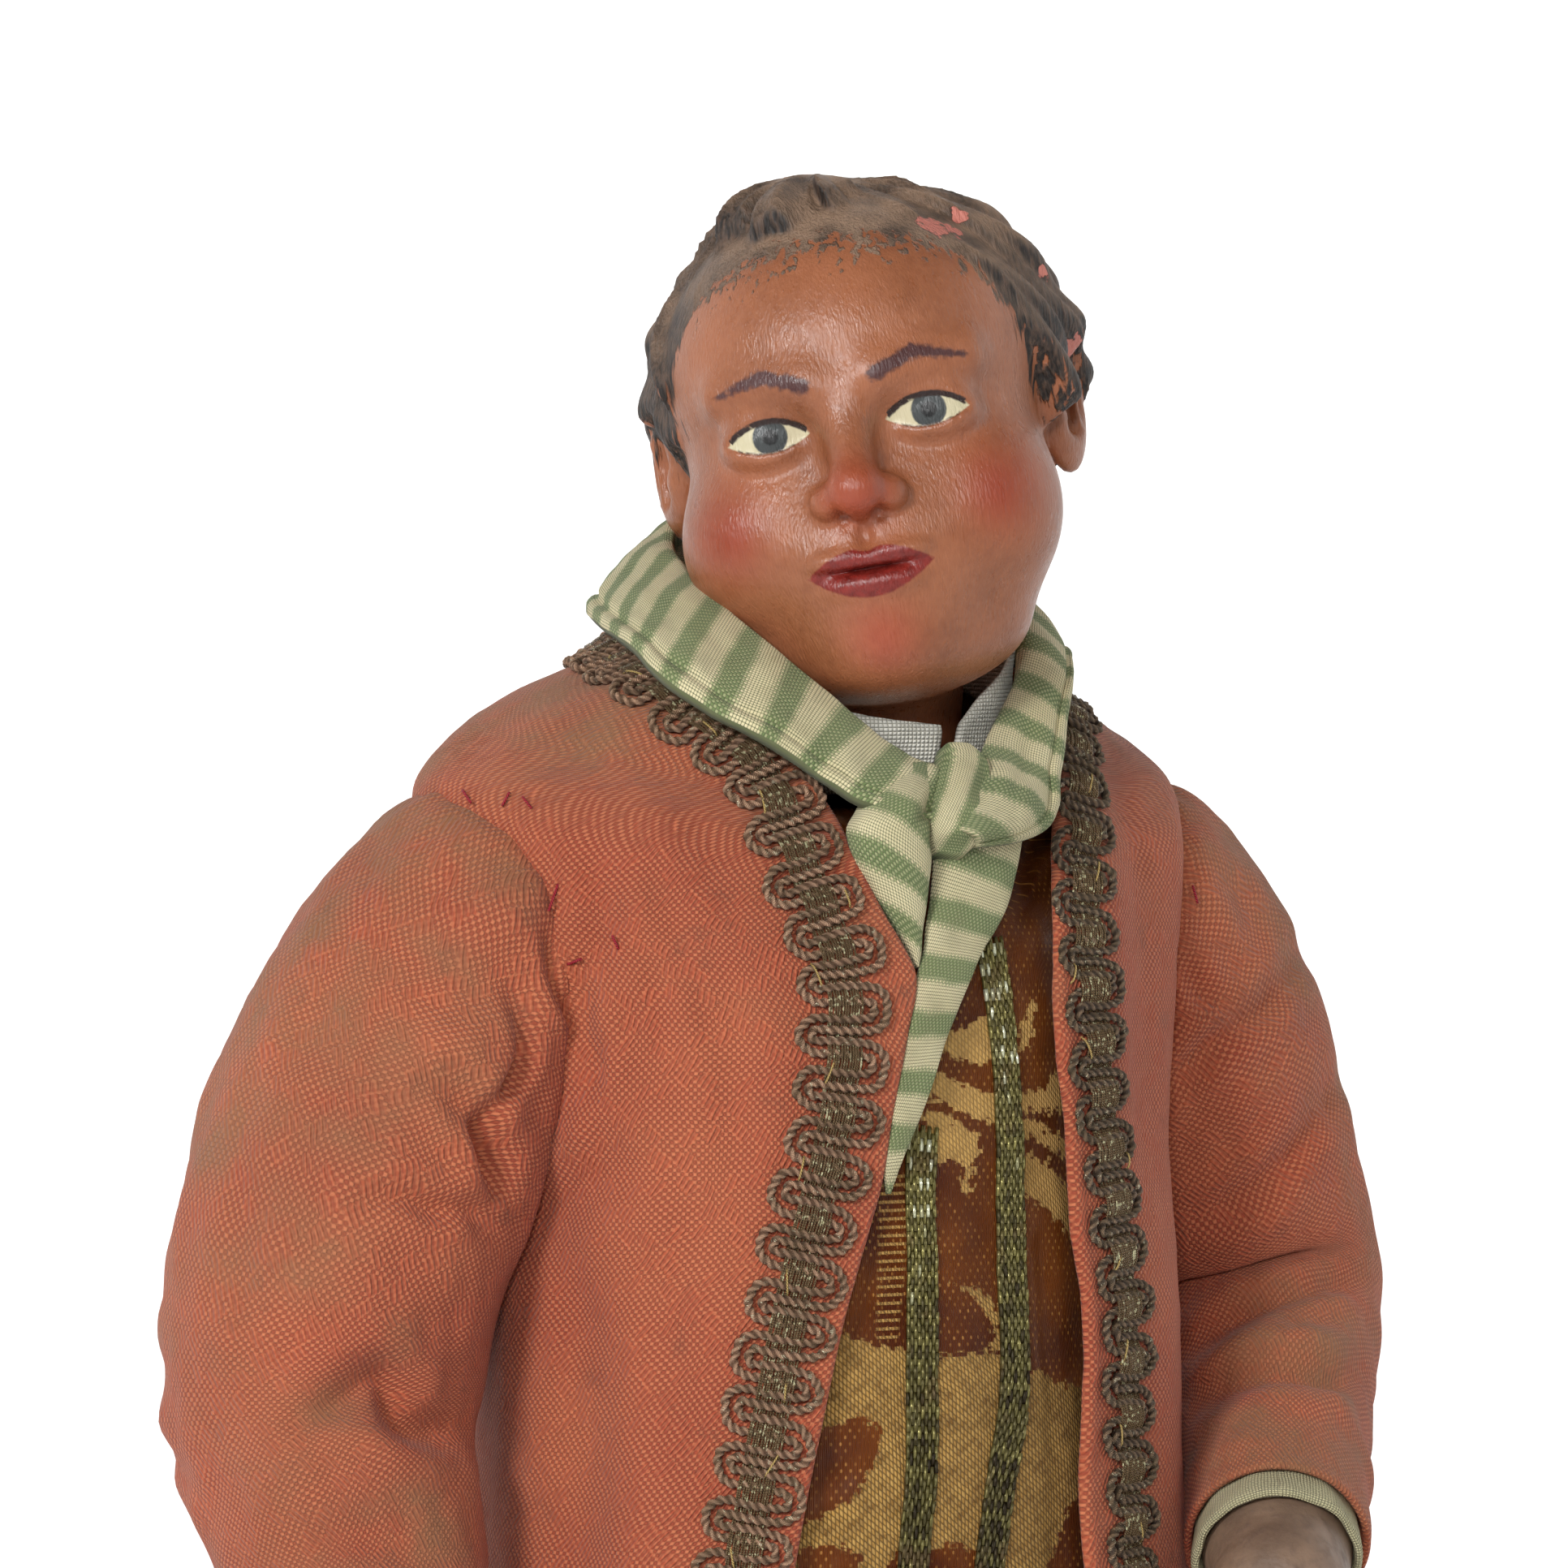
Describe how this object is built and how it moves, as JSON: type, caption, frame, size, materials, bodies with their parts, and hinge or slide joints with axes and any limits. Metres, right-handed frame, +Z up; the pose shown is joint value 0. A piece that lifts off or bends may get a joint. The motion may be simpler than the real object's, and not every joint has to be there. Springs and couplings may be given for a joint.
{
  "type": "presepe figure",
  "caption": "Standing crib figure of a stout man in a braided coat, brocade waistcoat and striped neck cloth, on a low base.",
  "frame": {"origin": "centre of the base's underside", "axes": "+Z up, the coat's front faces -Y, his right arm is at -X"},
  "size_m": [0.1353, 0.1, 0.3653],
  "materials": {
    "painted_clay": "fired clay, satin oil paint, chipped",
    "collar_linen": "plain open linen",
    "cravat_cloth": "fine striped cloth, cream and green",
    "coat_silk": "figured coral cloth, dusty",
    "gimp_braid": "looped metal gimp, tarnished",
    "waistcoat_brocade": "brocade, dark amber with gold figures",
    "lame_ribbon": "metal foil ribbon, grey green",
    "cuff_linen": "plain linen",
    "painted_hands": "painted, worn",
    "breeches_cloth": "plain dark wool",
    "painted_legs": "painted stockings and black shoes",
    "base_wood": "dark stain, waxed"
  },
  "bodies": {
    "root": {"head": "painted_clay", "shirt_collar": "collar_linen", "cravat": "cravat_cloth", "coat": "coat_silk", "sleeve_right": "coat_silk", "sleeve_left": "coat_silk", "braid_right": "gimp_braid", "braid_left": "gimp_braid", "waistcoat": "waistcoat_brocade", "ribbon_right": "lame_ribbon", "ribbon_left": "lame_ribbon", "cuff_right": "cuff_linen", "cuff_left": "cuff_linen", "hand_right": "painted_hands", "hand_left": "painted_hands", "breeches": "breeches_cloth", "leg_right": "painted_legs", "leg_left": "painted_legs", "base": "base_wood"}
  },
  "joints": []
}
